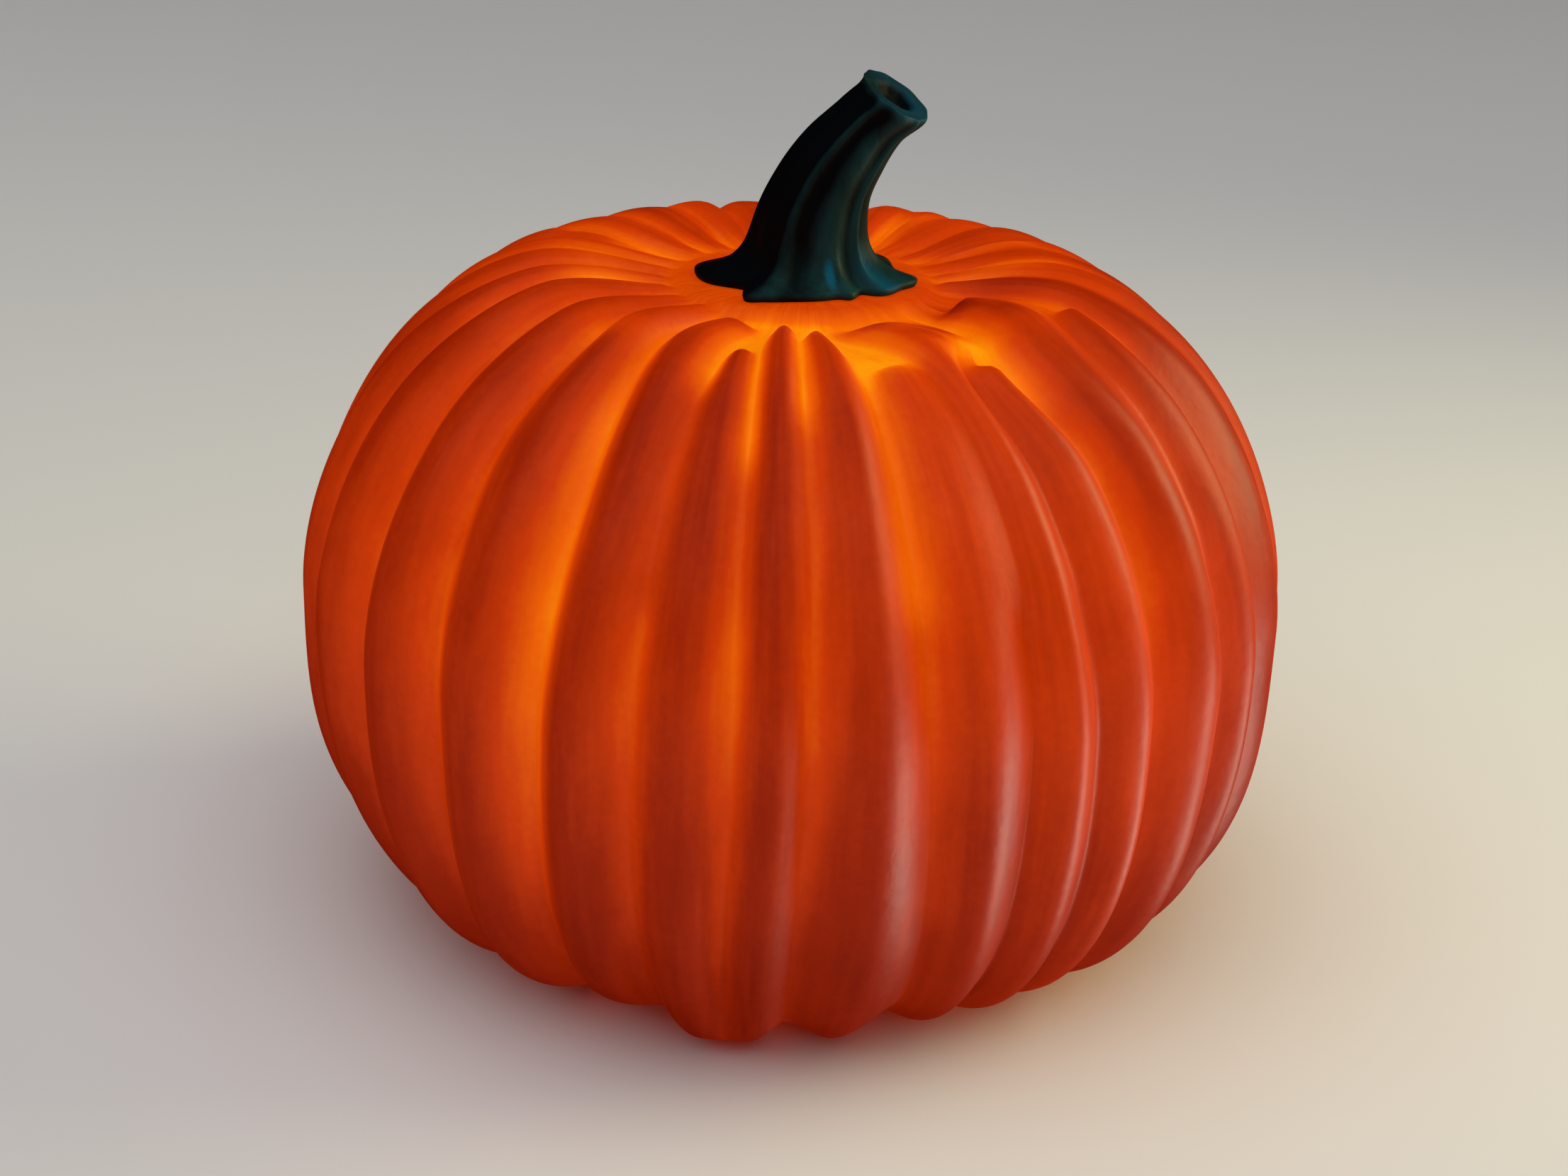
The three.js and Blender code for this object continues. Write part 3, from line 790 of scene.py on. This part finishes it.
# where the ridge teal lies: brushed paint, and painted highlight on the ridges that face right
brushed = ((brush_and_highlight_share + rim * 0.5) * strokes * COVER - BARE).clamped()
# where the bright teal lies: painted glints on the foot, and round the cut
bright = ((dabs + rim * 0.35) * patches * COVER - BARE).clamped()
coat_of_paint = paint.blend(bright, paint.blend(brushed, DARK_PAINT, BRUSHED_AND_HIGHLIGHT_TEAL), GLINT_TEAL)
bump = paint.node(
    "Bump", inputs={"Strength": 0.5, "Distance": 0.0008, "Height": strokes * 0.6 + grain * 0.25}
)
roughness = MATT - brushed * 0.2 + (grain - 0.5) * 0.1
paint.drive(Base_Color=coat_of_paint, Roughness=roughness, Normal=bump)
stem.data.materials.append(paint.material)
print("stem material:", len(paint.material.node_tree.nodes), "nodes")

# %% [markdown]
# ## Dressing the frame
#
# Each piece rides on the one body of the model and stands for the CAD solid that has its shape, which
# is hidden.

# %% Pieces and frame
for piece, node, slot in ((shell, "body", "body_shell"), (stem, "stem", "stem_paint")):
    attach(piece, "root")
    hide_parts(node)
print("pieces dressed:", shell.name, stem.name)

# %% [markdown]
# ## Floor and light
#
# A pale floor and large soft lights show a shape without drawing attention to themselves. A glow
# needs a calm room, so the world is dim and one wide light overhead gives the floor its tone. The
# satin skin would mirror all of that as a grey veil over the glow, so floor, world and overhead
# light are kept out of its reflections. What it does mirror is one weak warm light on the right,
# which draws a sheen down the right flank of each rib, and that light's image in a polished table:
# a second light below the floor, to which the floor casts no shadow. It carries the sheens on
# below the belly. The view transform is the plain one, because the filmic one would wash out
# saturated orange.

# %% Stage
FLOOR_HALF = 6
FLOOR_DROP = 0.2 * MM
ROOM_LIGHT = 0.03


def soft_light(name, azimuth, height, distance, size, power, colour=(1, 1, 1), spread=180):
    """Rectangular light at this azimuth and height, in degrees, round the belly and facing it."""
    data = bpy.data.lights.new(name, "AREA")
    data.shape = "RECTANGLE"
    data.size, data.size_y = size
    data.energy = power
    data.spread = math.radians(spread)
    data.color = colour
    light = bpy.data.objects.new(name, data)
    bpy.context.collection.objects.link(light)
    a, e = math.radians(azimuth), math.radians(height)
    away = Vector((math.sin(a) * math.cos(e), -math.cos(a) * math.cos(e), math.sin(e)))
    light.location = Vector((0, 0, BELLY_HEIGHT)) + distance * away
    light.rotation_mode = "QUATERNION"
    light.rotation_quaternion = away.to_track_quat("Z", "Y")
    return light


corners = [
    (x * FLOOR_HALF, y * FLOOR_HALF, -FLOOR_DROP)
    for x, y in ((-1, -1), (1, -1), (1, 1), (-1, 1))
]
floor_mesh = bpy.data.meshes.new("floor")
floor_mesh.from_pydata(corners, [], [(0, 1, 2, 3)])
floor = bpy.data.objects.new("floor", floor_mesh)
bpy.context.collection.objects.link(floor)
floor_paint = Finish("pale_floor", Base_Color=(0.84, 0.83, 0.81, 1), Roughness=0.6)
floor_mesh.materials.append(floor_paint.material)
floor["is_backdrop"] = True

world = bpy.data.worlds.new("room")
world.use_nodes = True
background = world.node_tree.nodes["Background"]
background.inputs["Color"].default_value = (0.93, 0.96, 1, 1)
background.inputs["Strength"].default_value = ROOM_LIGHT
world.cycles_visibility.glossy = False
bpy.context.scene.world = world
overhead = soft_light("overhead", azimuth=-20, height=72, distance=3, size=(5, 5), power=100)
overhead.visible_glossy = False
floor.visible_glossy = False
floor.visible_shadow = False
soft_light(
    "right_side", azimuth=102, height=20, distance=0.95,
    size=(0.7, 0.5), power=1.5, colour=(1, 0.9, 0.45), spread=80,
)
soft_light(
    "right_mirrored", azimuth=85, height=-27, distance=0.95,
    size=(0.4, 0.5), power=1.4, colour=(1, 0.92, 0.76), spread=80,
)
bpy.context.scene.view_settings.view_transform = "Standard"

# %% [markdown]
# ## Sizes and finish
#
# Both boxes, the CAD model's and the dressed lantern's, are printed to compare. The dressed
# lantern may not outgrow the CAD model.

# %% Finish
bpy.context.view_layer.update()
boxes = dict(cad=[list(cad_low), list(cad_high)], visual=[list(corner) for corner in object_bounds()])
for key, (low, high) in boxes.items():
    print(key, "box in mm:", [round((b - a) / MM, 1) for a, b in zip(low, high)])
